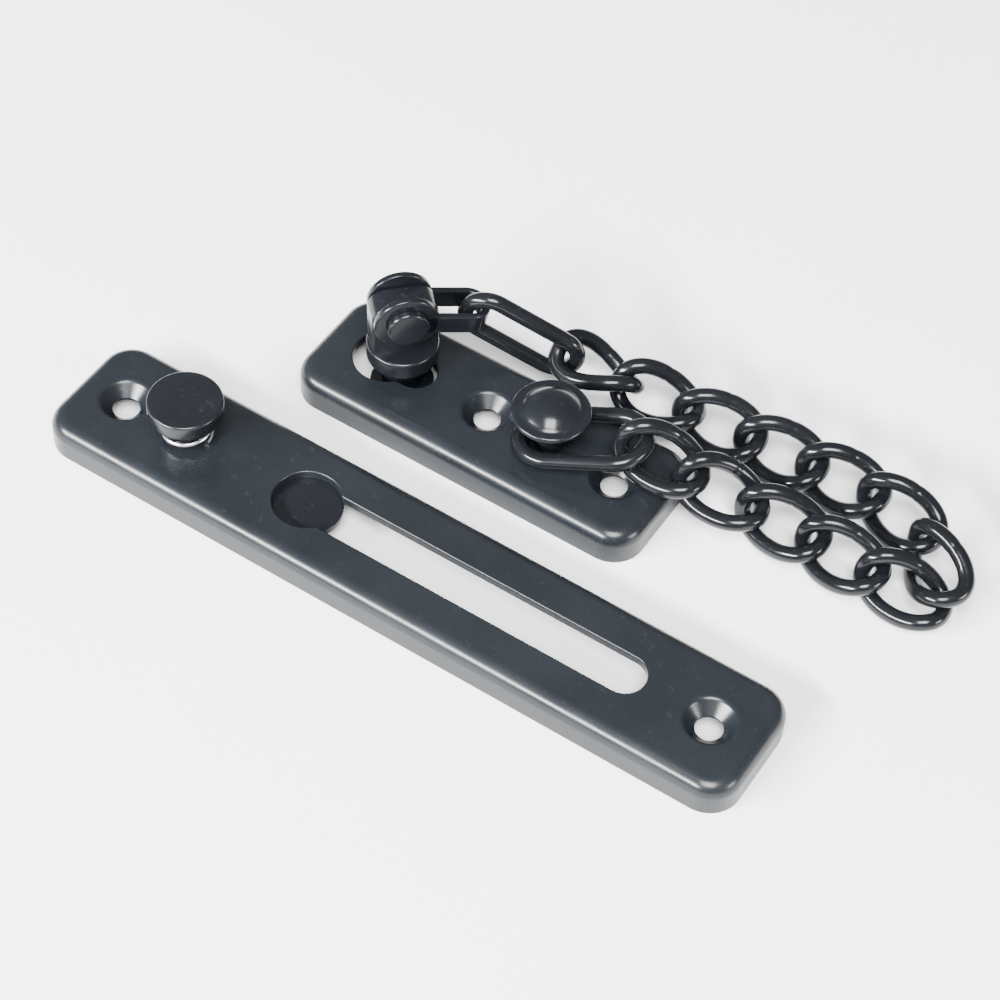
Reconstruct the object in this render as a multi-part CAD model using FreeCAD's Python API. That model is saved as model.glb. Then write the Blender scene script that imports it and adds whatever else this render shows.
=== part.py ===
"""Door chain guard: track plate with press-button latch, anchor plate, chain and slider.

Millimetres. x runs along the plates and z points away from the door. Shapes are
made with the plates' backs on z = 0, then lowered so that the origin is the
middle of the track plate's two screw holes.
"""
import FreeCAD, Part
import math
import os

from FreeCAD import Placement, Rotation, Vector

UP = Vector(0, 0, 1)

# Both plates: formed sheet, hollow behind
PLATE_WIDTH = 27.0
PLATE_HEIGHT = 7.45
WALL = 1.8
CORNER_R = 6.4
TOP_EDGE_R = 3.0
INNER_EDGE_R = 1.2
TRACK_LENGTH = 152.0
ANCHOR_LENGTH = 77.6
ANCHOR_CENTRE = Vector(-5.7, 37.6, 0)

# Screw holes, countersunk in a dimple of the sheet
SCREW_HOLE_R = 2.65
COUNTERSINK_R = 5.1
COUNTERSINK_DEPTH = 2.45
DIMPLE_LAND = 0.5
DIMPLE_WALL = 1.6
HOLE_MIDDLE_Z = PLATE_HEIGHT - COUNTERSINK_DEPTH - DIMPLE_LAND / 2
TRACK_SCREW_X = 65.2
ANCHOR_SCREWS_X = (-0.9, 28.0)

# Keyholes
KEYHOLE_R = 6.65
SLOT_WIDTH = 8.5
ENTRY_X = -22.4
TRACK_SLOT_END_X = 47.3
PARK_ENTRY_X = -25.0
PARK_SLOT_END_X = -18.0
PARK_OFFSET_Y = 0.6

# Press button, its shaft, spring and latch strip
BUTTON_X = -50.3
BUTTON_R = 7.3
BUTTON_TOP_Z = 17.4
BUTTON_THICKNESS = 3.5
BUTTON_EDGE_R = 0.5
SHAFT_R = 3.0
SHAFT_HOLE_R = 3.05
TANG_R = 2.0
SPRING_COIL_R = 4.65
SPRING_WIRE_R = 0.5
SPRING_TURNS = 2.6
SPRING_GAP = 0.05
LATCH_GAP = 0.1
LATCH_THICKNESS = 1.5
LATCH_WIDTH = 10.0
LATCH_DISC_R = 6.9
LATCH_HEEL_R = 6.0
RETAINER_R = 4.0
RETAINER_THICKNESS = 0.7
TANG_OVERHANG = 0.1

# Rivet post that holds the first link on the anchor plate
RIVET_XY = (7.4, 37.6)
RIVET_SHANK_R = 2.5
RIVET_POST_R = 2.9
RIVET_TAIL_R = 4.5
RIVET_TAIL_THICKNESS = 1.2
CAP_BOTTOM_Z = 16.2
CAP_R = 7.7
CAP_THICKNESS = 1.1
CAP_EDGE_R = 0.4
DOME_R = 5.9
DOME_RISE = 2.6

# Slider: head, neck, collar and lug, standing in the parking keyhole
SLIDER_XY = (-27.2, 38.6)
HEAD_R = 6.3
HEAD_Z = (0.3, 2.7)
NECK_R = 3.8
COLLAR_R = 7.1
COLLAR_Z = (10.2, 14.2)
COLLAR_EDGE_R = 0.5
LUG_TOP_Z = 26.2
LUG_THICKNESS = 5.4
LUG_CORNER_R = 3.6

# Cross pin and shackle
PIN_Z = 22.4
PIN_R = 1.6
PIN_HOLE_R = 1.65
PIN_YAW = -44.0
PIN_HEAD_R = 4.1
PIN_HEAD_THICKNESS = 1.5
PIN_HEAD_EDGE_R = 0.6
SHACKLE_SLOPE = 11.4
STRAP_THICKNESS = 1.4
STRAP_WIDTH = 4.4
STRAP_GAP = 0.05
EYE_R = 6.4
ARM_LENGTH = 13.0

# Chain links: wire and outer size of each kind
WIRE_R = 1.6
CENTRELINE_POINTS = 28
OVAL_EXPONENT = 2.4
CURB = {"length": 20.0, "width": 13.6, "twist": -84.0}
POST_LINK = {"length": 27.8, "width": 15.2}
LONG_LINK = {"length": 27.5, "width": 12.6}

# Where each link rests: centre x, y, z, then yaw, roll and pitch in degrees
LINKS = {
    "post_link": (POST_LINK, (13.8, 39.2, 11.6), 23, 1, 10),
    "chain_link_01": (CURB, (29.0, 42.9, 12.4), 8, 35, -15),
    "chain_link_02": (CURB, (41.3, 45.2, 8.8), 12, 32, -18),
    "chain_link_03": (CURB, (53.6, 46.9, 6.5), 2, 42, -4),
    "chain_link_04": (CURB, (66.4, 46.7, 6.0), -4, 37, -1),
    "chain_link_05": (CURB, (79.4, 47.1, 5.1), 2, 35, -11),
    "chain_link_06": (CURB, (81.8, 54.3, 6.5), -41, 45, 4),
    "chain_link_07": (CURB, (71.0, 61.1, 7.1), -10, 44, -4),
    "chain_link_08": (CURB, (58.1, 62.1, 6.8), 1, 40, 1),
    "chain_link_09": (CURB, (45.0, 61.5, 6.8), 4, 44, -2),
    "chain_link_10": (CURB, (32.0, 60.2, 7.4), 6, 46, -3),
    "chain_link_11": (CURB, (19.1, 58.4, 8.7), 7, 25, -6),
    "chain_link_12": (CURB, (6.3, 56.8, 10.7), 8, -11, -9),
    "long_link": (LONG_LINK, (-8.4, 51.9, 15.4), 23, 94, -29),
}


def cylinder(radius, bottom, top, x=0.0, y=0.0):
    """Upright cylinder between two heights."""
    return Part.makeCylinder(radius, top - bottom, Vector(x, y, bottom))


def rounded_disc(radius, bottom, top, edge_r):
    """Upright disc whose rims are rounded."""
    disc = cylinder(radius, bottom, top)
    rims = [edge for edge in disc.Edges if isinstance(edge.Curve, Part.Circle)]
    return disc.makeFillet(edge_r, rims)


def rounded_box(length, width, height, corner_r, edge_r):
    """Box on z = 0 with rounded upright corners and a rounded top edge."""
    box = Part.makeBox(length, width, height, Vector(-length / 2, -width / 2, 0))
    corners = [edge for edge in box.Edges if abs(edge.tangentAt(0).z) > 0.5]
    box = box.makeFillet(corner_r, corners)
    rim = [edge for edge in box.Edges if edge.BoundBox.ZMin > height - 0.01]
    return box.makeFillet(edge_r, rim)


def formed_plate(length):
    """Hollow plate, open at the back."""
    outer = rounded_box(length, PLATE_WIDTH, PLATE_HEIGHT, CORNER_R, TOP_EDGE_R)
    hollow = rounded_box(
        length - 2 * WALL, PLATE_WIDTH - 2 * WALL, PLATE_HEIGHT - WALL, CORNER_R - WALL, INNER_EDGE_R
    )
    return outer.cut(hollow)


def add_screw_hole(plate, x):
    """Countersunk hole in a dimple pressed into the sheet."""
    cone_bottom = PLATE_HEIGHT - COUNTERSINK_DEPTH
    land_bottom = cone_bottom - DIMPLE_LAND
    dimple = Part.makeCone(
        SCREW_HOLE_R + DIMPLE_WALL,
        COUNTERSINK_R + DIMPLE_WALL,
        COUNTERSINK_DEPTH,
        Vector(x, 0, land_bottom),
    )
    cone = Part.makeCone(
        SCREW_HOLE_R, COUNTERSINK_R, COUNTERSINK_DEPTH, Vector(x, 0, cone_bottom)
    )
    hole = cylinder(SCREW_HOLE_R, 0, PLATE_HEIGHT, x)
    return plate.fuse(dimple).cut(cone).cut(hole)


def keyhole(entry_x, end_x, y=0.0):
    """Cutter for a round entry with a narrower slot."""
    slot = Part.makeBox(
        end_x - entry_x, SLOT_WIDTH, PLATE_HEIGHT, Vector(entry_x, y - SLOT_WIDTH / 2, 0)
    )
    entry = cylinder(KEYHOLE_R, 0, PLATE_HEIGHT, entry_x, y)
    end = cylinder(SLOT_WIDTH / 2, 0, PLATE_HEIGHT, end_x, y)
    return entry.fuse([slot, end])


def make_track_plate():
    plate = formed_plate(TRACK_LENGTH)
    for x in (-TRACK_SCREW_X, TRACK_SCREW_X):
        plate = add_screw_hole(plate, x)
    plate = plate.cut(keyhole(ENTRY_X, TRACK_SLOT_END_X))
    return plate.cut(cylinder(SHAFT_HOLE_R, 0, PLATE_HEIGHT, BUTTON_X))


def make_anchor_plate():
    plate = formed_plate(ANCHOR_LENGTH)
    for x in ANCHOR_SCREWS_X:
        plate = add_screw_hole(plate, x)
    plate = plate.cut(keyhole(PARK_ENTRY_X, PARK_SLOT_END_X, PARK_OFFSET_Y))
    plate.translate(ANCHOR_CENTRE)
    return plate.cut(cylinder(RIVET_SHANK_R, 0, PLATE_HEIGHT, *RIVET_XY))


LATCH_TOP_Z = PLATE_HEIGHT - WALL - LATCH_GAP
LATCH_BOTTOM_Z = LATCH_TOP_Z - LATCH_THICKNESS
RETAINER_BOTTOM_Z = LATCH_BOTTOM_Z - RETAINER_THICKNESS
BUTTON_BOTTOM_Z = BUTTON_TOP_Z - BUTTON_THICKNESS


def make_press_button():
    head = rounded_disc(BUTTON_R, BUTTON_BOTTOM_Z, BUTTON_TOP_Z, BUTTON_EDGE_R)
    shaft = cylinder(SHAFT_R, LATCH_TOP_Z, BUTTON_TOP_Z - BUTTON_THICKNESS / 2)
    tang = cylinder(TANG_R, RETAINER_BOTTOM_Z - TANG_OVERHANG, LATCH_TOP_Z + TANG_OVERHANG)
    button = head.fuse([shaft, tang])
    button.translate(Vector(BUTTON_X, 0, 0))
    return button


def make_button_spring():
    bottom = PLATE_HEIGHT + SPRING_GAP + SPRING_WIRE_R
    height = BUTTON_BOTTOM_Z - SPRING_GAP - SPRING_WIRE_R - bottom
    pitch = height / SPRING_TURNS
    helix = Part.makeHelix(pitch, height, SPRING_COIL_R)
    rise = Vector(0, 2 * math.pi * SPRING_COIL_R, pitch)
    profile = Part.Wire(Part.makeCircle(SPRING_WIRE_R, Vector(SPRING_COIL_R, 0, 0), rise))
    spring = Part.Wire(helix.Edges).makePipeShell([profile], True, True)
    spring.translate(Vector(BUTTON_X, 0, bottom))
    return spring


def make_latch_strip():
    strip = Part.makeBox(
        ENTRY_X - BUTTON_X,
        LATCH_WIDTH,
        LATCH_THICKNESS,
        Vector(BUTTON_X, -LATCH_WIDTH / 2, LATCH_BOTTOM_Z),
    )
    disc = cylinder(LATCH_DISC_R, LATCH_BOTTOM_Z, LATCH_TOP_Z, ENTRY_X)
    heel = cylinder(LATCH_HEEL_R, LATCH_BOTTOM_Z, LATCH_TOP_Z, BUTTON_X)
    tang_hole = cylinder(TANG_R, LATCH_BOTTOM_Z, LATCH_TOP_Z, BUTTON_X)
    return strip.fuse([disc, heel]).cut(tang_hole).removeSplitter()


def make_latch_retainer():
    washer = cylinder(RETAINER_R, RETAINER_BOTTOM_Z, LATCH_BOTTOM_Z, BUTTON_X)
    return washer.cut(cylinder(TANG_R, RETAINER_BOTTOM_Z, LATCH_BOTTOM_Z, BUTTON_X))


def make_rivet_post():
    """Post riveted into the anchor plate, with a domed cap over the first link."""
    sheet_bottom = PLATE_HEIGHT - WALL
    cap_top = CAP_BOTTOM_Z + CAP_THICKNESS
    tail = cylinder(RIVET_TAIL_R, sheet_bottom - RIVET_TAIL_THICKNESS, sheet_bottom)
    shank = cylinder(RIVET_SHANK_R, sheet_bottom - RIVET_TAIL_THICKNESS, CAP_BOTTOM_Z)
    post = cylinder(RIVET_POST_R, PLATE_HEIGHT, cap_top)
    cap = rounded_disc(CAP_R, CAP_BOTTOM_Z, cap_top, CAP_EDGE_R)
    ball_r = (DOME_R**2 + DOME_RISE**2) / (2 * DOME_RISE)
    ball = Part.makeSphere(ball_r, Vector(0, 0, cap_top + DOME_RISE - ball_r))
    dome = ball.common(cylinder(DOME_R + 1, cap_top, cap_top + 2 * DOME_RISE))
    rivet = tail.fuse([shank, post, cap, dome]).removeSplitter()
    rivet.translate(Vector(*RIVET_XY, 0))
    return rivet


def on_slider(shape, height=0.0, slope=0.0):
    """Turn a shape made along x into the shackle's direction and set it on the slider."""
    turn = Rotation(UP, PIN_YAW + 90) * Rotation(Vector(0, 1, 0), slope)
    shape.Placement = Placement(Vector(*SLIDER_XY, height), turn)
    return shape


def cross_bar(radius, half_length):
    """Cylinder along y, centred on the origin."""
    return Part.makeCylinder(radius, 2 * half_length, Vector(0, -half_length, 0), Vector(0, 1, 0))


EYE_INNER = LUG_THICKNESS / 2 + STRAP_GAP
EYE_OUTER = EYE_INNER + STRAP_THICKNESS


def make_slider():
    head = cylinder(HEAD_R, *HEAD_Z)
    neck = cylinder(NECK_R, HEAD_Z[0], COLLAR_Z[1])
    collar = rounded_disc(COLLAR_R, *COLLAR_Z, COLLAR_EDGE_R)
    lug = Part.makeBox(
        2 * COLLAR_R,
        LUG_THICKNESS,
        LUG_TOP_Z - COLLAR_Z[0],
        Vector(-COLLAR_R, -LUG_THICKNESS / 2, COLLAR_Z[0]),
    )
    top = [
        edge
        for edge in lug.Edges
        if edge.BoundBox.ZMin > LUG_TOP_Z - 0.01 and edge.BoundBox.YLength > 1
    ]
    lug = lug.makeFillet(LUG_CORNER_R, top)
    lug = lug.common(cylinder(COLLAR_R, sum(COLLAR_Z) / 2, LUG_TOP_Z))
    pin_hole = cross_bar(PIN_HOLE_R, COLLAR_R)
    pin_hole.translate(Vector(0, 0, PIN_Z))
    return on_slider(head.fuse([neck, collar, lug]).cut(pin_hole))


def make_cross_pin():
    seat = EYE_OUTER + STRAP_GAP
    pin = cross_bar(PIN_R, seat + PIN_HEAD_THICKNESS / 2)
    head = Part.makeCylinder(PIN_HEAD_R, PIN_HEAD_THICKNESS, Vector(0, seat, 0), Vector(0, 1, 0))
    rim = [edge for edge in head.Edges if edge.BoundBox.YMin > seat + 0.1]
    head = head.makeFillet(PIN_HEAD_EDGE_R, rim)
    other = head.mirror(Vector(0, 0, 0), Vector(0, 1, 0))
    return on_slider(pin.fuse([head, other]), PIN_Z, SHACKLE_SLOPE)


def strap_region(half_width, start_x, half_height):
    """Round-ended block that a strap's bend follows."""
    block = Part.makeBox(
        ARM_LENGTH - start_x,
        2 * half_width,
        2 * half_height,
        Vector(start_x, -half_width, -half_height),
    )
    return block.fuse(cylinder(half_width, -half_height, half_height, ARM_LENGTH))


def make_shackle():
    """Flat strap bent to a U, with an eye on each side of the slider."""
    half = STRAP_WIDTH / 2
    gap = strap_region(EYE_INNER, -2 * EYE_R, EYE_R + 1)
    strap = strap_region(EYE_OUTER, 0, half)
    eyes = cross_bar(EYE_R, EYE_OUTER)
    shackle = strap.fuse(eyes).cut(gap).cut(cross_bar(PIN_HOLE_R, EYE_OUTER + 1))
    return on_slider(shackle.removeSplitter(), PIN_Z, SHACKLE_SLOPE)


def oval(value):
    """Signed power that squares an ellipse a little."""
    return math.copysign(abs(value) ** (2 / OVAL_EXPONENT), value)


def straight_link(size):
    """Flat link along x: two straight sides joined by half rings."""
    bend_r = size["width"] / 2 - WIRE_R
    half_side = size["length"] / 2 - WIRE_R - bend_r
    pieces = []
    for side in (-1, 1):
        start = Vector(-half_side, side * bend_r, 0)
        pieces.append(Part.makeCylinder(WIRE_R, 2 * half_side, start, Vector(1, 0, 0)))
        ring = Part.makeTorus(bend_r, WIRE_R, Vector(0, 0, 0), UP, -180, 180, 180)
        ring.rotate(Vector(0, 0, 0), UP, -90 * side)
        ring.translate(Vector(side * half_side, 0, 0))
        pieces.append(ring)
    return pieces[0].fuse(pieces[1:]).removeSplitter()


def curb_link(size):
    """Link along x bent from round wire to an oval and twisted along its length."""
    half_length = size["length"] / 2 - WIRE_R
    half_width = size["width"] / 2 - WIRE_R
    points = []
    for step in range(CENTRELINE_POINTS):
        angle = 2 * math.pi * step / CENTRELINE_POINTS
        along = oval(math.cos(angle))
        across = half_width * oval(math.sin(angle))
        lean = math.radians(size["twist"] / 2 * along)
        points.append(
            Vector(half_length * along, across * math.cos(lean), across * math.sin(lean))
        )
    path = Part.BSplineCurve()
    path.interpolate(Points=points, PeriodicFlag=True)
    first = path.FirstParameter
    last = path.LastParameter
    middle = (first + last) / 2
    halves = []
    for start, stop in ((first, middle), (middle, last)):
        ring = Part.makeCircle(WIRE_R, path.value(start), path.tangent(start)[0])
        spine = Part.Wire(path.toShape(start, stop))
        halves.append(spine.makePipeShell([Part.Wire(ring)], True, False))
    return halves[0].fuse(halves[1])


def make_link(size, centre, yaw, roll, pitch):
    """Link of one kind, turned about its length, tilted and set in place."""
    link = curb_link(size) if "twist" in size else straight_link(size)
    turn = Rotation(UP, yaw) * Rotation(Vector(0, -1, 0), pitch) * Rotation(Vector(1, 0, 0), roll)
    link.Placement = Placement(centre, turn)
    return link


NODES = {
    "track_plate": make_track_plate,
    "press_button": make_press_button,
    "button_spring": make_button_spring,
    "latch_strip": make_latch_strip,
    "latch_retainer": make_latch_retainer,
    "anchor_plate": make_anchor_plate,
    "rivet_post": make_rivet_post,
    "slider": make_slider,
    "cross_pin": make_cross_pin,
    "shackle": make_shackle,
}


def save(name, shape):
    if not shape.isValid() or len(shape.Solids) != 1:
        raise ValueError(f"{name} is not one sound solid")
    solid = shape.Solids[0]
    solid.translate(Vector(0, 0, -HOLE_MIDDLE_Z))
    solid.exportStep(f"parts/{name}.step")


os.makedirs("parts", exist_ok=True)
for name, make in NODES.items():
    save(name, make())
for name, (size, place, yaw, roll, pitch) in LINKS.items():
    save(name, make_link(size, Vector(*place), yaw, roll, pitch))
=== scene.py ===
import math

import bmesh
import bpy
from mathutils import Matrix, Vector


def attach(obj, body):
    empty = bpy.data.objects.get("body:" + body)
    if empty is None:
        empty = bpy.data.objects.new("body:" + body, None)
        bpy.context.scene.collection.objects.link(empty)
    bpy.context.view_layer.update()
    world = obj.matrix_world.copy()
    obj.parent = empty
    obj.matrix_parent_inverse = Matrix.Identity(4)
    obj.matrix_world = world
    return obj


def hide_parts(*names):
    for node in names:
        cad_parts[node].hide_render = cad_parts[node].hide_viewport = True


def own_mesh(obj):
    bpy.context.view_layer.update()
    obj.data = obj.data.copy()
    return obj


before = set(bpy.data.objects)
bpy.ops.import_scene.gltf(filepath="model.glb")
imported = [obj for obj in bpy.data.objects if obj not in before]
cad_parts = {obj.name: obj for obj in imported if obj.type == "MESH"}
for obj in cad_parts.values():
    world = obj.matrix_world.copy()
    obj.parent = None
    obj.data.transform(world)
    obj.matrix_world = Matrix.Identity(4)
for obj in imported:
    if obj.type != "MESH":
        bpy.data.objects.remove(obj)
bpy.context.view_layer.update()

MM = 0.001
AXIS_Z = Vector((0, 0, 1))

# Camera, at the height and side from which the guard is photographed; degrees and mm
VIEW_AZIMUTH = 30.31
VIEW_ELEVATION = 51.22
VIEW_ROLL = 3.57
VIEW_DISTANCE = 508.9
VIEW_TARGET = (4.37, 25.70, -4.75)
LENS = 95.73
SENSOR = 36.0
CLIP_START_M = 0.01

# Plates, in mm, with their backs on z = 0; settle() lowers every piece to the frame
PLATE_WIDTH = 27.0
PLATE_HEIGHT = 7.45
WALL = 1.8
CORNER_R = 6.4
TOP_EDGE_R = 3.0
INNER_EDGE_R = 1.2
RIM_EDGE_R = 0.3
TRACK_LENGTH = 152.0
ANCHOR_LENGTH = 77.6
ANCHOR_CENTRE = (-5.7, 37.6)
SCREW_HOLE_R = 2.65
COUNTERSINK_R = 5.1
COUNTERSINK_DEPTH = 2.45
LIP_R = 1.4
LIP_SWEEP = 0.94
DIMPLE_LAND = 0.5
DIMPLE_WALL = 1.6
DIMPLE_EDGE_R = 0.4
CUT_MARGIN = 1
TRACK_SCREW_X = 65.2
ANCHOR_SCREWS_X = (-0.9, 28.0)
KEYHOLE_R = 6.65
SLOT_WIDTH = 8.5
SLOT_EDGE_R = 0.35
ENTRY_X = -22.4
TRACK_SLOT_END_X = 47.3
PARK_ENTRY_X = -25.0
PARK_SLOT_END_X = -18.0
PARK_OFFSET_Y = 0.6

# Middle of the screw holes' straight walls, which is the frame's z = 0
HOLE_MIDDLE_Z = PLATE_HEIGHT - COUNTERSINK_DEPTH - DIMPLE_LAND / 2

# Press button, spring and latch
BUTTON_X = -50.3
BUTTON_R = 7.3
BUTTON_TOP_Z = 17.4
BUTTON_THICKNESS = 3.5
BUTTON_EDGE_R = 0.55
BUTTON_FACE_INSET = 1.2
BUTTON_FACE_DISH = 0.06
SHAFT_R = 3.0
SHAFT_HOLE_R = 3.05
TANG_R = 2.0
TANG_PROUD = 0.1
SPRING_COIL_R = 4.65
SPRING_WIRE_R = 0.5
SPRING_TURNS = 2.6
SPRING_GAP = 0.05
SPRING_STEPS = 260
SPRING_SIDES = 16
LATCH_TOP_Z = 5.55
LATCH_THICKNESS = 1.5
LATCH_HALF_WIDTH = 5.0
LATCH_DISC_R = 6.9
LATCH_HEEL_R = 6.0
LATCH_EDGE_R = 0.25
LATCH_STEPS = 40
RETAINER_R = 4.0
RETAINER_THICKNESS = 0.7

# Rivet post
RIVET_XY = (7.4, 37.6)
RIVET_SHANK_R = 2.5
RIVET_POST_R = 2.9
RIVET_TAIL_R = 4.5
RIVET_TAIL_THICKNESS = 1.2
CAP_BOTTOM_Z = 16.2
CAP_R = 7.7
CAP_THICKNESS = 1.1
DOME_R = 5.9
DOME_RISE = 2.6
DOME_FOOT = 0.25
DOME_STEPS = 20

# Slider, cross pin and shackle
SLIDER_XY = (-27.2, 38.6)
HEAD_R = 6.3
HEAD_Z = (0.3, 2.7)
NECK_R = 3.8
COLLAR_R = 7.1
COLLAR_Z = (10.2, 14.2)
LUG_TOP_Z = 26.2
LUG_THICKNESS = 5.4
LUG_CORNER_R = 3.6
LUG_EDGE_R = 0.55
LUG_SUNK = 1
PIN_Z = 22.4
PIN_R = 1.6
PIN_HOLE_R = 1.65
PIN_HEAD_R = 4.1
PIN_HEAD_THICKNESS = 1.5
SHACKLE_AZIMUTH = 46.0
SHACKLE_SLOPE = 11.4
STRAP_THICKNESS = 1.4
STRAP_WIDTH = 4.4
STRAP_GAP = 0.05
STRAP_EDGE_R = 0.4
STRAP_ARM_STEPS = 12
STRAP_BEND_STEPS = 32
EYE_R = 6.4
ARM_LENGTH = 13.0

# Chain: wire and outer sizes
WIRE_R = 1.6
OVAL_EXPONENT = 2.4
CURB = {"length": 20.0, "width": 13.6, "twist": -84.0}
POST_LINK = {"length": 27.8, "width": 15.2}
LONG_LINK = {"length": 27.5, "width": 12.6}

# Butt weld: its share of the way round, its narrowing of the wire, how sharply it starts,
# and the rough way round a link in mm
WELD_AT = 0.25
WELD_NARROWING = 0.05
WELD_SHARPNESS = 1.6
LINK_ROUND = 55

# Each link's kind, centre (x, y, z) in mm, and yaw, roll and pitch in degrees
LINKS = {
    "post_link": (POST_LINK, (13.8, 39.2, 11.6), 23, 1, 10),
    "chain_link_01": (CURB, (29.0, 42.9, 12.4), 8, 35, -15),
    "chain_link_02": (CURB, (41.3, 45.2, 8.8), 12, 32, -18),
    "chain_link_03": (CURB, (53.6, 46.9, 6.5), 2, 42, -4),
    "chain_link_04": (CURB, (66.4, 46.7, 6.0), -4, 37, -1),
    "chain_link_05": (CURB, (79.4, 47.1, 5.1), 2, 35, -11),
    "chain_link_06": (CURB, (81.8, 54.3, 6.5), -41, 45, 4),
    "chain_link_07": (CURB, (71.0, 61.1, 7.1), -10, 44, -4),
    "chain_link_08": (CURB, (58.1, 62.1, 6.8), 1, 40, 1),
    "chain_link_09": (CURB, (45.0, 61.5, 6.8), 4, 44, -2),
    "chain_link_10": (CURB, (32.0, 60.2, 7.4), 6, 46, -3),
    "chain_link_11": (CURB, (19.1, 58.4, 8.7), 7, 25, -6),
    "chain_link_12": (CURB, (6.3, 56.8, 10.7), 8, -11, -9),
    "long_link": (LONG_LINK, (-8.4, 51.9, 15.4), 23, 94, -29),
}

# Mesh fineness
ROUND_SEGMENTS = 96
ARC_STEPS = 8
CORNER_STEPS = 12
LINK_STEPS = 144
WIRE_SIDES = 28
SMOOTH_ANGLE = math.radians(32)
MERGE_M = 1e-7


# ---------------------------------------------------------------- camera

def add_camera():
    azimuth = math.radians(VIEW_AZIMUTH)
    elevation = math.radians(VIEW_ELEVATION)
    roll = math.radians(VIEW_ROLL)
    back = Vector((
        math.sin(azimuth) * math.cos(elevation),
        -math.cos(azimuth) * math.cos(elevation),
        math.sin(elevation),
    ))
    level_right = Vector((math.cos(azimuth), math.sin(azimuth), 0))
    level_up = back.cross(level_right)
    right = level_right * math.cos(roll) + level_up * math.sin(roll)
    up = back.cross(right)
    place = (Vector(VIEW_TARGET) + back * VIEW_DISTANCE) * MM
    data = bpy.data.cameras.new("camera")
    data.lens = LENS
    data.sensor_width = SENSOR
    data.sensor_height = SENSOR
    data.clip_start = CLIP_START_M
    camera = bpy.data.objects.new("camera", data)
    bpy.context.scene.collection.objects.link(camera)
    turn = Matrix((right, up, back)).transposed().to_4x4()
    camera.matrix_world = Matrix.Translation(place) @ turn
    bpy.context.scene.camera = camera


# ---------------------------------------------------------------- meshes

def mesh_object(name, verts, faces):
    """Object from millimetre vertices, smooth with sharp creases kept."""
    mesh = bpy.data.meshes.new(name)
    mesh.from_pydata([tuple(Vector(v) * MM) for v in verts], [], faces)
    mesh.validate()
    obj = bpy.data.objects.new(name, mesh)
    bpy.context.scene.collection.objects.link(obj)
    clean(obj)
    return obj


def clean(obj):
    """Merge doubles, drop loose edges, face outwards, shade smooth except at creases."""
    work = bmesh.new()
    work.from_mesh(obj.data)
    bmesh.ops.remove_doubles(work, verts=work.verts, dist=MERGE_M)
    loose = [edge for edge in work.edges if not edge.link_faces]
    bmesh.ops.delete(work, geom=loose, context="EDGES")
    bmesh.ops.recalc_face_normals(work, faces=work.faces)
    work.to_mesh(obj.data)
    work.free()
    obj.data.shade_smooth()
    obj.data.set_sharp_from_angle(angle=SMOOTH_ANGLE)


def stack(loops, closed=True):
    """Skin equally long vertex rings; closed joins the last to the first, else both are capped."""
    count = len(loops[0])
    verts = [v for loop in loops for v in loop]
    faces = []
    rows = len(loops) if closed else len(loops) - 1
    for row in range(rows):
        low = row * count
        high = (row + 1) % len(loops) * count
        for i in range(count):
            j = (i + 1) % count
            faces.append((low + i, low + j, high + j, high + i))
    if not closed:
        faces.append(tuple(range(count)))
        last = (len(loops) - 1) * count
        faces.append(tuple(range(last, last + count)))
    return verts, faces


def rounded_profile(corners):
    """Closed outline through (r, z, fillet) corners, each rounded by its fillet."""
    points = []
    count = len(corners)
    for i in range(count):
        here = Vector(corners[i][:2])
        fillet = corners[i][2]
        if fillet == 0:
            points.append(here)
            continue
        before = (Vector(corners[i - 1][:2]) - here).normalized()
        after = (Vector(corners[(i + 1) % count][:2]) - here).normalized()
        half = before.angle(after) / 2
        start = here + before * fillet / math.tan(half)
        stop = here + after * fillet / math.tan(half)
        centre = here + (before + after).normalized() * fillet / math.sin(half)
        for step in range(ARC_STEPS + 1):
            chord = start.lerp(stop, step / ARC_STEPS) - centre
            points.append(centre + chord.normalized() * fillet)
    return points


def lathe(name, corners):
    """Turned solid about z from a closed (r, z, fillet) outline."""
    loops = []
    for point in rounded_profile(corners):
        radius = max(point.x, 0)
        loop = []
        for i in range(ROUND_SEGMENTS):
            angle = 2 * math.pi * i / ROUND_SEGMENTS
            loop.append((radius * math.cos(angle), radius * math.sin(angle), point.y))
        loops.append(loop)
    return mesh_object(name, *stack(loops))


def rounded_rectangle(half_x, half_y, corner_r):
    """Ring of (x, y) points; always the same number of them."""
    points = []
    for quarter, (sx, sy) in enumerate(((1, 1), (-1, 1), (-1, -1), (1, -1))):
        cx = sx * (half_x - corner_r)
        cy = sy * (half_y - corner_r)
        for step in range(CORNER_STEPS + 1):
            angle = math.pi / 2 * (quarter + step / CORNER_STEPS)
            points.append((cx + corner_r * math.cos(angle), cy + corner_r * math.sin(angle)))
    return points


def arc(centre_x, radius, start, turn, steps):
    """(x, y) points on an arc about a centre on the x axis."""
    points = []
    for step in range(steps + 1):
        angle = start + turn * step / steps
        points.append((centre_x + radius * math.cos(angle), radius * math.sin(angle)))
    return points


def keyhole_outline(entry_x, end_x, grow):
    """Ring of (x, y) points round a keyhole, made larger by grow."""
    entry_r = KEYHOLE_R + grow
    slot_r = SLOT_WIDTH / 2 + grow
    meet = math.asin(slot_r / entry_r)
    steps = 4 * CORNER_STEPS
    entry = arc(entry_x, entry_r, meet, 2 * math.pi - 2 * meet, steps)
    return entry + arc(end_x, slot_r, -math.pi / 2, math.pi, steps)


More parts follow.
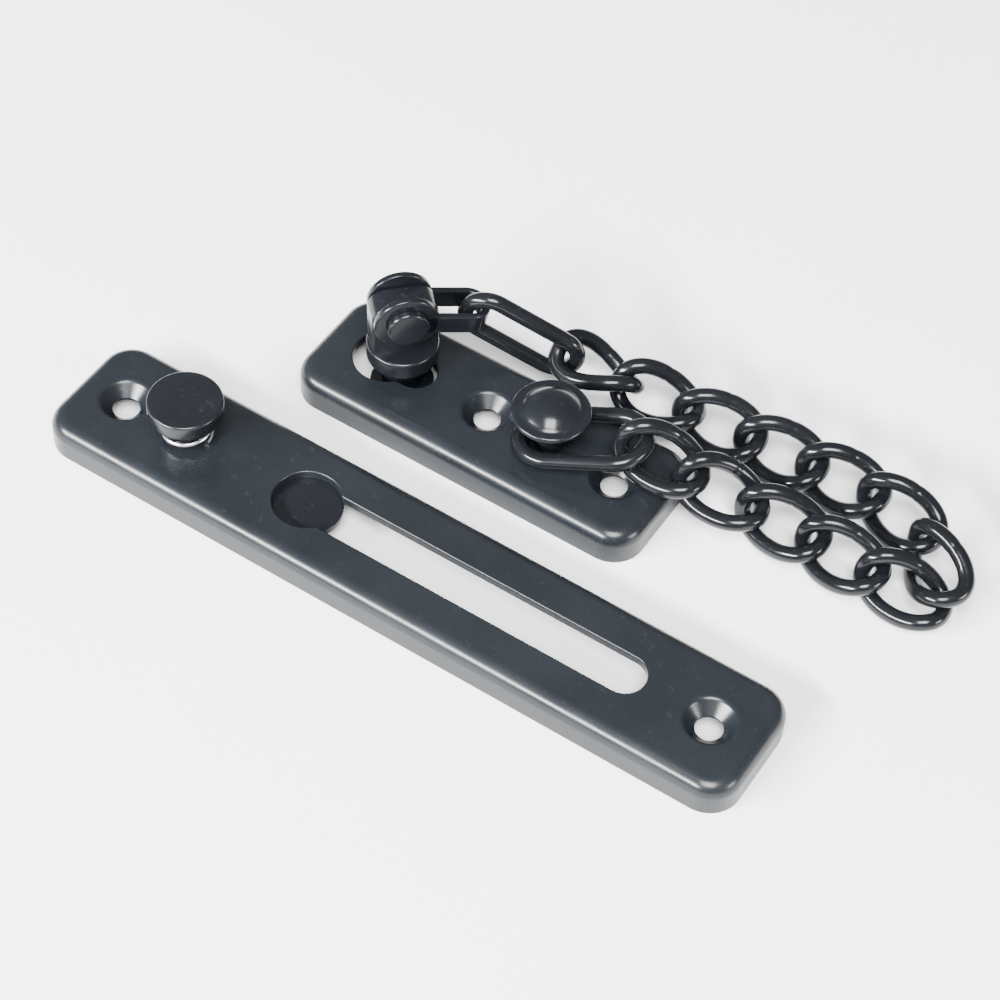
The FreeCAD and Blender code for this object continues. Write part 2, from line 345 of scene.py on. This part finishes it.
def boolean(obj, cutter, operation):
    """Apply one exact boolean and throw the cutter away."""
    modifier = obj.modifiers.new("cut", "BOOLEAN")
    modifier.object = cutter
    modifier.operation = operation
    modifier.solver = "EXACT"
    modifier.use_hole_tolerant = True
    bpy.context.view_layer.update()
    graph = bpy.context.evaluated_depsgraph_get()
    result = bpy.data.meshes.new_from_object(obj.evaluated_get(graph))
    obj.modifiers.clear()
    obj.data = result
    bpy.data.objects.remove(cutter)


def join(name, pieces):
    """One object from several, each with its place already in its mesh."""
    verts = []
    faces = []
    for piece in pieces:
        start = len(verts)
        verts.extend(v.co / MM for v in piece.data.vertices)
        faces.extend(tuple(start + i for i in face.vertices) for face in piece.data.polygons)
        bpy.data.objects.remove(piece)
    return mesh_object(name, verts, faces)


def place(obj, matrix):
    """Move an object's mesh by a matrix given in millimetres."""
    scale = Matrix.Scale(MM, 4)
    obj.data.transform(scale @ matrix @ scale.inverted())
    return obj


def shift(x, y, z=0.0):
    return Matrix.Translation((x, y, z))


# ---------------------------------------------------------------- plates

def at_height(ring, z):
    return [(x, y, z) for x, y in ring]


def edge_arc(radius):
    """(inset, drop) pairs round a quarter circle, from the wall to the top."""
    pairs = []
    for step in range(ARC_STEPS + 1):
        angle = math.pi / 2 * step / ARC_STEPS
        pairs.append((radius * (1 - math.cos(angle)), radius * (1 - math.sin(angle))))
    return pairs


def rounded_levels(low, high, radius):
    """(inset, height) levels of a slab with both its edges rounded."""
    levels = [(inset, low + drop) for inset, drop in reversed(edge_arc(radius))]
    return levels + [(inset, high - drop) for inset, drop in edge_arc(radius)]


def plate_shell(name, length):
    """Hollow formed plate as one closed skin, from its top down and back up inside."""
    inner_top = PLATE_HEIGHT - WALL
    levels = [(inset, PLATE_HEIGHT - drop) for inset, drop in reversed(edge_arc(TOP_EDGE_R))]
    levels += edge_arc(RIM_EDGE_R)
    levels.append((WALL, 0.0))
    levels += [(WALL + inset, inner_top - drop) for inset, drop in edge_arc(INNER_EDGE_R)]
    loops = []
    for inset, z in levels:
        ring = rounded_rectangle(length / 2 - inset, PLATE_WIDTH / 2 - inset, CORNER_R - inset)
        loops.append(at_height(ring, z))
    return mesh_object(name, *stack(loops, closed=False))


def screw_cutter(x):
    """Countersink with a rounded lip, and the hole below it."""
    cone_bottom = PLATE_HEIGHT - COUNTERSINK_DEPTH
    slope = math.atan2(COUNTERSINK_DEPTH, COUNTERSINK_R - SCREW_HOLE_R)
    tangent = LIP_R * math.tan(slope / 2)
    profile = [(0, -CUT_MARGIN), (SCREW_HOLE_R, -CUT_MARGIN), (SCREW_HOLE_R, cone_bottom)]
    centre_r = COUNTERSINK_R + tangent
    centre_z = PLATE_HEIGHT - LIP_R
    for step in range(ARC_STEPS + 1):
        angle = slope * (1 - LIP_SWEEP * step / ARC_STEPS)
        profile.append(
            (centre_r - LIP_R * math.sin(angle), centre_z + LIP_R * math.cos(angle))
        )
    edge_r = profile[-1][0]
    profile += [(edge_r, PLATE_HEIGHT + CUT_MARGIN), (0, PLATE_HEIGHT + CUT_MARGIN)]
    cutter = lathe("cutter", [(r, z, 0) for r, z in profile])
    return place(cutter, shift(x, 0))


def dimple(x):
    """Sheet pressed down behind a countersink."""
    land_bottom = PLATE_HEIGHT - COUNTERSINK_DEPTH - DIMPLE_LAND
    top = PLATE_HEIGHT - WALL / 2
    rise = top - land_bottom
    solid = lathe("dimple", [
        (0, land_bottom, 0),
        (SCREW_HOLE_R + DIMPLE_WALL, land_bottom, DIMPLE_EDGE_R),
        (SCREW_HOLE_R + DIMPLE_WALL + rise, top, 0),
        (0, top, 0),
    ])
    return place(solid, shift(x, 0))


def keyhole_cutter(entry_x, end_x, y=0.0):
    """Cutter whose outline flares at the sheet's front, for a rounded edge."""
    levels = [(0.0, -CUT_MARGIN)]
    levels += [(grow, PLATE_HEIGHT - drop) for grow, drop in edge_arc(SLOT_EDGE_R)[:-1]]
    levels.append((levels[-1][0], PLATE_HEIGHT + CUT_MARGIN))
    loops = [at_height(keyhole_outline(entry_x, end_x, grow), z) for grow, z in levels]
    return place(mesh_object("cutter", *stack(loops, closed=False)), shift(0, y))


def rod(radius, low, high):
    """Plain round cutter along z."""
    return lathe("cutter", [(0, low, 0), (radius, low, 0), (radius, high, 0), (0, high, 0)])


def bore_cutter(radius, x, y=0.0):
    return place(rod(radius, -CUT_MARGIN, PLATE_HEIGHT + CUT_MARGIN), shift(x, y))


def finish_plate(obj):
    """Clean what the cuts left and even out the shading of the flat faces."""
    clean(obj)
    modifier = obj.modifiers.new("normals", "WEIGHTED_NORMAL")
    modifier.keep_sharp = True
    return obj


def add_screw_holes(plate, places):
    """Press all the dimples first, then cut the countersunk holes through them."""
    for x in places:
        boolean(plate, dimple(x), "UNION")
        clean(plate)
    for x in places:
        boolean(plate, screw_cutter(x), "DIFFERENCE")


def make_track_plate():
    plate = plate_shell("Track_Plate", TRACK_LENGTH)
    add_screw_holes(plate, (-TRACK_SCREW_X, TRACK_SCREW_X))
    boolean(plate, keyhole_cutter(ENTRY_X, TRACK_SLOT_END_X), "DIFFERENCE")
    boolean(plate, bore_cutter(SHAFT_HOLE_R, BUTTON_X), "DIFFERENCE")
    return finish_plate(plate)


def make_anchor_plate():
    plate = plate_shell("Anchor_Plate", ANCHOR_LENGTH)
    add_screw_holes(plate, ANCHOR_SCREWS_X)
    cutter = keyhole_cutter(PARK_ENTRY_X, PARK_SLOT_END_X, PARK_OFFSET_Y)
    boolean(plate, cutter, "DIFFERENCE")
    place(plate, shift(*ANCHOR_CENTRE))
    boolean(plate, bore_cutter(RIVET_SHANK_R, *RIVET_XY), "DIFFERENCE")
    return finish_plate(plate)


# ---------------------------------------------------------------- button and latch

def make_press_button():
    bottom = BUTTON_TOP_Z - BUTTON_THICKNESS
    retainer_bottom = LATCH_TOP_Z - LATCH_THICKNESS - RETAINER_THICKNESS
    button = lathe("Press_Button", [
        (0, retainer_bottom - TANG_PROUD, 0),
        (TANG_R, retainer_bottom - TANG_PROUD, 0.2),
        (TANG_R, LATCH_TOP_Z, 0),
        (SHAFT_R, LATCH_TOP_Z, 0.15),
        (SHAFT_R, bottom, 0.3),
        (BUTTON_R, bottom, 0.4),
        (BUTTON_R, BUTTON_TOP_Z, BUTTON_EDGE_R),
        (BUTTON_R - BUTTON_FACE_INSET, BUTTON_TOP_Z, 0),
        (0, BUTTON_TOP_Z - BUTTON_FACE_DISH, 0),
    ])
    return place(button, shift(BUTTON_X, 0))


def sweep(points, radius_at, sides, closed):
    """Round tube along a path, its rings carried without twist."""
    count = len(points)
    tangents = []
    for i in range(count):
        if closed:
            step = points[(i + 1) % count] - points[i - 1]
        else:
            step = points[min(i + 1, count - 1)] - points[max(i - 1, 0)]
        tangents.append(step.normalized())
    side = tangents[0].orthogonal().normalized()
    sides_at = [side]
    for i in range(1, count):
        turn = tangents[i - 1].rotation_difference(tangents[i])
        sides_at.append((turn @ sides_at[-1]).normalized())
    drift = 0.0
    if closed:
        back = tangents[-1].rotation_difference(tangents[0]) @ sides_at[-1]
        drift = math.atan2(tangents[0].dot(back.cross(side)), back.dot(side))
    loops = []
    for i in range(count):
        first = Matrix.Rotation(drift * i / count, 3, tangents[i]) @ sides_at[i]
        second = tangents[i].cross(first)
        loop = []
        for k in range(sides):
            angle = 2 * math.pi * k / sides
            offset = first * math.cos(angle) + second * math.sin(angle)
            loop.append(points[i] + offset * radius_at(i / count))
        loops.append(loop)
    return stack(loops, closed)


def make_button_spring():
    bottom = PLATE_HEIGHT + SPRING_GAP + SPRING_WIRE_R
    top = BUTTON_TOP_Z - BUTTON_THICKNESS - SPRING_GAP - SPRING_WIRE_R
    points = []
    for step in range(SPRING_STEPS + 1):
        share = step / SPRING_STEPS
        angle = 2 * math.pi * SPRING_TURNS * share
        points.append(Vector((
            BUTTON_X + SPRING_COIL_R * math.cos(angle),
            SPRING_COIL_R * math.sin(angle),
            bottom + (top - bottom) * share,
        )))
    skin = sweep(points, lambda share: SPRING_WIRE_R, SPRING_SIDES, False)
    return mesh_object("Button_Spring", *skin)


def make_latch_strip():
    """Flat strip with a disc at one end and a round heel at the other."""
    disc_meet = math.asin(LATCH_HALF_WIDTH / LATCH_DISC_R)
    heel_meet = math.asin(LATCH_HALF_WIDTH / LATCH_HEEL_R)
    disc_turn = 2 * math.pi - 2 * disc_meet
    heel_turn = 2 * math.pi - 2 * heel_meet
    loops = []
    for inset, z in rounded_levels(LATCH_TOP_Z - LATCH_THICKNESS, LATCH_TOP_Z, LATCH_EDGE_R):
        disc = arc(ENTRY_X, LATCH_DISC_R - inset, -math.pi + disc_meet, disc_turn, LATCH_STEPS)
        heel = arc(BUTTON_X, LATCH_HEEL_R - inset, heel_meet, heel_turn, LATCH_STEPS)
        loops.append(at_height(disc + heel, z))
    strip = mesh_object("Latch_Strip", *stack(loops, closed=False))
    boolean(strip, bore_cutter(TANG_R, BUTTON_X), "DIFFERENCE")
    clean(strip)
    return strip


def make_latch_retainer():
    top = LATCH_TOP_Z - LATCH_THICKNESS
    bottom = top - RETAINER_THICKNESS
    washer = lathe("Latch_Retainer", [
        (TANG_R, bottom, 0), (RETAINER_R, bottom, 0.15), (RETAINER_R, top, 0.15), (TANG_R, top, 0)
    ])
    return place(washer, shift(BUTTON_X, 0))


# ---------------------------------------------------------------- rivet post

def make_rivet_post():
    sheet_bottom = PLATE_HEIGHT - WALL
    tail_bottom = sheet_bottom - RIVET_TAIL_THICKNESS
    cap_top = CAP_BOTTOM_Z + CAP_THICKNESS
    ball_r = (DOME_R**2 + DOME_RISE**2) / (2 * DOME_RISE)
    centre_z = cap_top + DOME_RISE - ball_r
    outline = [
        (0, tail_bottom, 0),
        (RIVET_TAIL_R, tail_bottom, 0.4),
        (RIVET_TAIL_R, sheet_bottom, 0),
        (RIVET_SHANK_R, sheet_bottom, 0),
        (RIVET_SHANK_R, PLATE_HEIGHT, 0),
        (RIVET_POST_R, PLATE_HEIGHT, 0),
        (RIVET_POST_R, CAP_BOTTOM_Z, 0.5),
        (CAP_R, CAP_BOTTOM_Z, 0.35),
        (CAP_R, cap_top, 0.5),
        (DOME_R + DOME_FOOT, cap_top, 0.6),
    ]
    start = math.asin(DOME_R / ball_r)
    for step in range(1, DOME_STEPS + 1):
        angle = start * (1 - step / DOME_STEPS)
        outline.append((ball_r * math.sin(angle), centre_z + ball_r * math.cos(angle), 0))
    rivet = lathe("Rivet_Post", outline)
    return place(rivet, shift(*RIVET_XY))


# ---------------------------------------------------------------- slider, pin and shackle

def shackle_frame(height, slope):
    """From shapes made along x to the shackle's direction at the slider."""
    turn = Matrix.Rotation(math.radians(SHACKLE_AZIMUTH), 4, "Z")
    tilt = Matrix.Rotation(math.radians(slope), 4, "Y")
    return shift(*SLIDER_XY, height) @ turn @ tilt


ALONG_Y = Matrix.Rotation(-math.pi / 2, 4, "X")
EYE_INNER = LUG_THICKNESS / 2 + STRAP_GAP
EYE_OUTER = EYE_INNER + STRAP_THICKNESS


def make_slider():
    body = lathe("body", [
        (0, HEAD_Z[0], 0),
        (HEAD_R, HEAD_Z[0], 0.35),
        (HEAD_R, HEAD_Z[1], 0.35),
        (NECK_R, HEAD_Z[1], 0.3),
        (NECK_R, COLLAR_Z[0], 0.3),
        (COLLAR_R, COLLAR_Z[0], 0.5),
        (COLLAR_R, COLLAR_Z[1], 0.6),
        (0, COLLAR_Z[1], 0),
    ])
    half = LUG_THICKNESS / 2
    half_width = math.sqrt(COLLAR_R**2 - half**2)
    foot_z = COLLAR_Z[0] + LUG_SUNK
    half_height = (LUG_TOP_Z - foot_z) / 2
    middle_z = foot_z + half_height
    loops = []
    for inset, y in rounded_levels(-half, half, LUG_EDGE_R):
        ring = rounded_rectangle(half_width - inset, half_height - inset, LUG_CORNER_R - inset)
        loops.append([(px, y, middle_z + pz) for px, pz in ring])
    lug = mesh_object("lug", *stack(loops, closed=False))
    pin_hole = rod(PIN_HOLE_R, -COLLAR_R, COLLAR_R)
    boolean(lug, place(pin_hole, shift(0, 0, PIN_Z) @ ALONG_Y), "DIFFERENCE")
    slider = join("Slider", [body, lug])
    return place(slider, shackle_frame(0, 0))


def make_cross_pin():
    seat = EYE_OUTER + STRAP_GAP
    outer = seat + PIN_HEAD_THICKNESS
    pin = lathe("Cross_Pin", [
        (0, -outer, 0),
        (PIN_HEAD_R, -outer, 0.6),
        (PIN_HEAD_R, -seat, 0.15),
        (PIN_R, -seat, 0),
        (PIN_R, seat, 0),
        (PIN_HEAD_R, seat, 0.15),
        (PIN_HEAD_R, outer, 0.6),
        (0, outer, 0),
    ])
    return place(pin, shackle_frame(PIN_Z, SHACKLE_SLOPE) @ ALONG_Y)


def make_shackle():
    """Flat strap bent to a U, with a round eye on each side of the slider."""
    middle = (EYE_INNER + EYE_OUTER) / 2
    path = []
    for step in range(STRAP_ARM_STEPS + 1):
        path.append((ARM_LENGTH * step / STRAP_ARM_STEPS, middle, 0.0))
    for step in range(1, STRAP_BEND_STEPS):
        angle = math.pi * step / STRAP_BEND_STEPS
        path.append((ARM_LENGTH + middle * math.sin(angle), middle * math.cos(angle), angle))
    for step in range(STRAP_ARM_STEPS + 1):
        path.append((ARM_LENGTH * (1 - step / STRAP_ARM_STEPS), -middle, math.pi))
    loops = []
    section = rounded_rectangle(STRAP_THICKNESS / 2, STRAP_WIDTH / 2, STRAP_EDGE_R)
    for x, y, angle in path:
        out = Vector((math.sin(angle), math.cos(angle), 0))
        loops.append([Vector((x, y, 0)) + out * across + AXIS_Z * up for across, up in section])
    pieces = [mesh_object("strap", *stack(loops, closed=False))]
    for side in (-1, 1):
        eye = lathe("eye", [
            (PIN_HOLE_R, EYE_INNER, 0),
            (EYE_R, EYE_INNER, 0.3),
            (EYE_R, EYE_OUTER, 0.4),
            (PIN_HOLE_R, EYE_OUTER, 0),
        ])
        pieces.append(place(eye, Matrix.Rotation(-side * math.pi / 2, 4, "X")))
    return place(join("Shackle", pieces), shackle_frame(PIN_Z, SHACKLE_SLOPE))


# ---------------------------------------------------------------- chain

def oval(value):
    """Cosine or sine pushed outwards, which squares an ellipse up a little."""
    return math.copysign(abs(value) ** (2 / OVAL_EXPONENT), value)


def curb_centreline(size):
    """Oval link whose ends are turned against each other by the twist."""
    half_length = size["length"] / 2 - WIRE_R
    half_width = size["width"] / 2 - WIRE_R
    points = []
    for step in range(LINK_STEPS):
        angle = 2 * math.pi * step / LINK_STEPS
        along = oval(math.cos(angle))
        across = half_width * oval(math.sin(angle))
        lean = math.radians(size["twist"] / 2 * along)
        points.append(Vector((
            half_length * along, across * math.cos(lean), across * math.sin(lean)
        )))
    return even(points)


def straight_centreline(size):
    """Flat link with straight sides and round ends."""
    bend_r = size["width"] / 2 - WIRE_R
    half_side = size["length"] / 2 - WIRE_R - bend_r
    points = []
    steps = LINK_STEPS // 2
    for end in (1, -1):
        for step in range(steps):
            angle = math.pi * (step / steps - 0.5)
            bend = Vector((half_side + bend_r * math.cos(angle), bend_r * math.sin(angle), 0))
            points.append(bend * end)
    return even(points)


def even(points):
    """The same closed curve with points at even distances."""
    count = len(points)
    lengths = [0.0]
    for i in range(count):
        lengths.append(lengths[-1] + (points[(i + 1) % count] - points[i]).length)
    total = lengths[-1]
    result = []
    i = 0
    for step in range(LINK_STEPS):
        target = total * step / LINK_STEPS
        while lengths[i + 1] < target:
            i += 1
        share = (target - lengths[i]) / (lengths[i + 1] - lengths[i])
        result.append(points[i].lerp(points[(i + 1) % count], share))
    return result


def make_link(name, size, centre, yaw, roll, pitch):
    curve = curb_centreline(size) if "twist" in size else straight_centreline(size)

    def radius(share):
        """Wire radius, narrower at the butt weld a quarter of the way round."""
        distance = (share - WELD_AT) * LINK_ROUND
        return WIRE_R * (1 - WELD_NARROWING * math.exp(-(distance * WELD_SHARPNESS) ** 2))

    link = mesh_object(name, *sweep(curve, radius, WIRE_SIDES, True))
    turn = Matrix.Rotation(math.radians(yaw), 4, "Z")
    turn = turn @ Matrix.Rotation(math.radians(-pitch), 4, "Y")
    turn = turn @ Matrix.Rotation(math.radians(roll), 4, "X")
    return place(link, shift(*centre) @ turn)


# ---------------------------------------------------------------- materials

# Colour sockets of a Mix node set to colours
MIX_UNDER = 6
MIX_OVER = 7
MIX_RESULT = 2

# The part of a noise's range that the tones and the gloss follow
NOISE_LOW = 0.3
NOISE_HIGH = 0.7

# Noise scales in waves per metre, and the (position, strength) stops of scuffs and dust
CLOUD_SCALE = 45.0
SCUFF_SCALE = 420.0
SCUFF_STOPS = [(0.60, 0.0), (0.72, 0.45)]
SCUFF_COLOUR = (0.022, 0.024, 0.027)
DUST_SCALE = 2600.0
DUST_STOPS = [(0.70, 0.0), (0.78, 1.0)]
DUST_COLOUR = (0.035, 0.036, 0.038)
SMEAR_SCALE = 90.0
PEEL_DEPTH_M = 0.00004
STREAK_DEPTH_M = 0.00002
STREAK_STRENGTH = 0.15
STEEL_CLOUD_SCALE = 300.0
STEEL_CLOUD_STOP = 0.65
STEEL_SHADE = 0.72
PAPER_SCALE = 6.0


def new_material(name):
    material = bpy.data.materials.new(name)
    material.use_nodes = True
    nodes = material.node_tree.nodes
    links = material.node_tree.links
    shader = nodes["Principled BSDF"]
    coords = nodes.new("ShaderNodeTexCoord")
    return material, nodes, links, shader, coords


def noise(nodes, links, coords, scale, detail=4.0, roughness=0.55):
    node = nodes.new("ShaderNodeTexNoise")
    node.inputs["Scale"].default_value = scale
    node.inputs["Detail"].default_value = detail
    node.inputs["Roughness"].default_value = roughness
    links.new(coords.outputs["Object"], node.inputs["Vector"])
    return node


def ramp(nodes, links, source, stops):
    """Colour ramp through (position, grey or colour) stops."""
    node = nodes.new("ShaderNodeValToRGB")
    links.new(source, node.inputs["Fac"])
    elements = node.color_ramp.elements
    while len(elements) < len(stops):
        elements.new(0.5)
    for element, (at, value) in zip(elements, stops):
        element.position = at
        element.color = (*value, 1) if isinstance(value, tuple) else (value, value, value, 1)
    return node


def blend(nodes, links, factor, under, colour):
    """Lay a plain colour over another node's colour where the factor is high."""
    node = nodes.new("ShaderNodeMix")
    node.data_type = "RGBA"
    links.new(factor, node.inputs["Factor"])
    links.new(under, node.inputs[MIX_UNDER])
    node.inputs[MIX_OVER].default_value = (*colour, 1)
    return node.outputs[MIX_RESULT]


def roughen(nodes, links, shader, source, rough):
    """Roughness between two values, following the middle of a noise's range."""
    node = nodes.new("ShaderNodeMapRange")
    links.new(source, node.inputs["Value"])
    node.inputs["From Min"].default_value = NOISE_LOW
    node.inputs["From Max"].default_value = NOISE_HIGH
    node.inputs["To Min"].default_value = rough[0]
    node.inputs["To Max"].default_value = rough[1]
    links.new(node.outputs["Result"], shader.inputs["Roughness"])


def emboss(nodes, links, shader, source, strength, depth_m):
    node = nodes.new("ShaderNodeBump")
    node.inputs["Strength"].default_value = strength
    node.inputs["Distance"].default_value = depth_m
    links.new(source, node.inputs["Height"])
    links.new(node.outputs["Normal"], shader.inputs["Normal"])


def black_coat(name, dark, light, rough, grain, grain_depth, shine):
    """Black coat on steel: cloudy tone, light scuffs, fine dust and orange peel."""
    material, nodes, links, shader, coords = new_material(name)
    shader.inputs["Specular IOR Level"].default_value = shine
    clouds = noise(nodes, links, coords, CLOUD_SCALE)
    tones = [(NOISE_LOW, dark), (NOISE_HIGH, light)]
    tone = ramp(nodes, links, clouds.outputs["Fac"], tones)
    scuffs = noise(nodes, links, coords, SCUFF_SCALE, detail=6.0, roughness=0.7)
    rubbed = ramp(nodes, links, scuffs.outputs["Fac"], SCUFF_STOPS)
    worn = blend(nodes, links, rubbed.outputs["Color"], tone.outputs["Color"], SCUFF_COLOUR)
    specks = noise(nodes, links, coords, DUST_SCALE, detail=2.0)
    dust = ramp(nodes, links, specks.outputs["Fac"], DUST_STOPS)
    dusty = blend(nodes, links, dust.outputs["Color"], worn, DUST_COLOUR)
    links.new(dusty, shader.inputs["Base Color"])
    smears = noise(nodes, links, coords, SMEAR_SCALE, detail=6.0)
    roughen(nodes, links, shader, smears.outputs["Fac"], rough)
    peel = noise(nodes, links, coords, grain, detail=3.0)
    emboss(nodes, links, shader, peel.outputs["Fac"], grain_depth, PEEL_DEPTH_M)
    return material


def bright_steel(name, colour, rough, grain):
    """Plain drawn or turned steel with fine streaks."""
    material, nodes, links, shader, coords = new_material(name)
    shader.inputs["Metallic"].default_value = 1.0
    clouds = noise(nodes, links, coords, STEEL_CLOUD_SCALE)
    darker = tuple(part * STEEL_SHADE for part in colour)
    tones = [(NOISE_LOW, darker), (STEEL_CLOUD_STOP, colour)]
    tone = ramp(nodes, links, clouds.outputs["Fac"], tones)
    links.new(tone.outputs["Color"], shader.inputs["Base Color"])
    streaks = noise(nodes, links, coords, grain, detail=5.0)
    roughen(nodes, links, shader, streaks.outputs["Fac"], rough)
    emboss(nodes, links, shader, streaks.outputs["Fac"], STREAK_STRENGTH, STREAK_DEPTH_M)
    return material


MATERIALS = {
    "plates": black_coat(
        "plate_coat", dark=(0.0065, 0.008, 0.010), light=(0.009, 0.011, 0.0135),
        rough=(0.24, 0.30), grain=2200.0, grain_depth=0.25, shine=0.33,
    ),
    "fittings": black_coat(
        "fitting_coat", dark=(0.004, 0.0045, 0.006), light=(0.006, 0.007, 0.009),
        rough=(0.18, 0.24), grain=1800.0, grain_depth=0.15, shine=0.32,
    ),
    "chain": black_coat(
        "chain_coat", dark=(0.0035, 0.004, 0.005), light=(0.0055, 0.0065, 0.008),
        rough=(0.15, 0.21), grain=1500.0, grain_depth=0.15, shine=0.30,
    ),
    "spring": bright_steel("spring_steel", (0.78, 0.78, 0.80), (0.14, 0.26), 2500.0),
    "washer": bright_steel("washer_steel", (0.56, 0.56, 0.57), (0.30, 0.42), 1500.0),
}


def floor_material():
    """Matt white paper, very slightly uneven."""
    material, nodes, links, shader, coords = new_material("floor_paper")
    clouds = noise(nodes, links, coords, PAPER_SCALE)
    tones = [(NOISE_LOW, 0.91), (NOISE_HIGH, 0.94)]
    tone = ramp(nodes, links, clouds.outputs["Fac"], tones)
    links.new(tone.outputs["Color"], shader.inputs["Base Color"])
    shader.inputs["Roughness"].default_value = 0.6
    shader.inputs["Specular IOR Level"].default_value = 0.25
    return material


# ---------------------------------------------------------------- stage

FLOOR_HALF = 6000.0
WORLD_COLOUR = (0.96, 0.98, 1.0, 1)
WORLD_STRENGTH = 0.5

# Softboxes: place in metres, width and height in metres, power in watts
LIGHT_AIM = (0.01, 0.03, 0.0)
SOFTBOXES = {
    "overhead": ((0.35, -0.55, 1.15), (0.6, 0.6), 52.0),
    "front": ((-0.45, -0.95, 0.60), (0.9, 0.10), 85.0),
    "side": ((1.1, 0.1, 0.35), (0.4, 0.2), 9.0),
}


def add_floor():
    corners = ((-1, -1), (1, -1), (1, 1), (-1, 1))
    verts = [(x * FLOOR_HALF, y * FLOOR_HALF, -HOLE_MIDDLE_Z) for x, y in corners]
    floor = mesh_object("floor", verts, [(0, 1, 2, 3)])
    floor.data.materials.append(floor_material())


def add_softbox(name, place_m, size, power):
    data = bpy.data.lights.new(name, "AREA")
    data.shape = "RECTANGLE"
    data.size = size[0]
    data.size_y = size[1]
    data.energy = power
    light = bpy.data.objects.new(name, data)
    bpy.context.scene.collection.objects.link(light)
    light.location = place_m
    direction = Vector(LIGHT_AIM) - Vector(place_m)
    light.rotation_euler = direction.to_track_quat("-Z", "Y").to_euler()


def add_lights():
    world = bpy.data.worlds.new("studio")
    world.use_nodes = True
    background = world.node_tree.nodes["Background"]
    background.inputs["Color"].default_value = WORLD_COLOUR
    background.inputs["Strength"].default_value = WORLD_STRENGTH
    bpy.context.scene.world = world
    for name, (place_m, size, power) in SOFTBOXES.items():
        add_softbox(name, place_m, size, power)


# ---------------------------------------------------------------- assembly

# Maker, CAD node, body and slot of every piece that isn't a link
PIECES = [
    (make_track_plate, "track_plate", "track", "plates"),
    (make_anchor_plate, "anchor_plate", "anchor", "plates"),
    (make_press_button, "press_button", "button", "fittings"),
    (make_button_spring, "button_spring", "track", "spring"),
    (make_latch_strip, "latch_strip", "button", "fittings"),
    (make_latch_retainer, "latch_retainer", "button", "washer"),
    (make_rivet_post, "rivet_post", "anchor", "fittings"),
    (make_slider, "slider", "slider", "fittings"),
    (make_cross_pin, "cross_pin", "slider", "fittings"),
    (make_shackle, "shackle", "shackle", "fittings"),
]


def settle(piece, node, body, slot):
    """Lower a piece to the frame's origin, give it the coat of its slot and its body, and hide its
    CAD node.
    """
    place(piece, shift(0, 0, -HOLE_MIDDLE_Z))
    piece.data.materials.clear()
    piece.data.materials.append(MATERIALS[slot])
    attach(piece, body)
    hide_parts(node)


def squash_spring():
    """Give the spring a mesh of its own."""
    spring = bpy.data.objects["Button_Spring"]
    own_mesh(spring)


add_camera()
add_lights()
add_floor()
for make, node, body, slot in PIECES:
    settle(make(), node, body, slot)
squash_spring()
for node, (size, centre, yaw, roll, pitch) in LINKS.items():
    piece = make_link(node.title(), size, centre, yaw, roll, pitch)
    settle(piece, node, node, "chain")
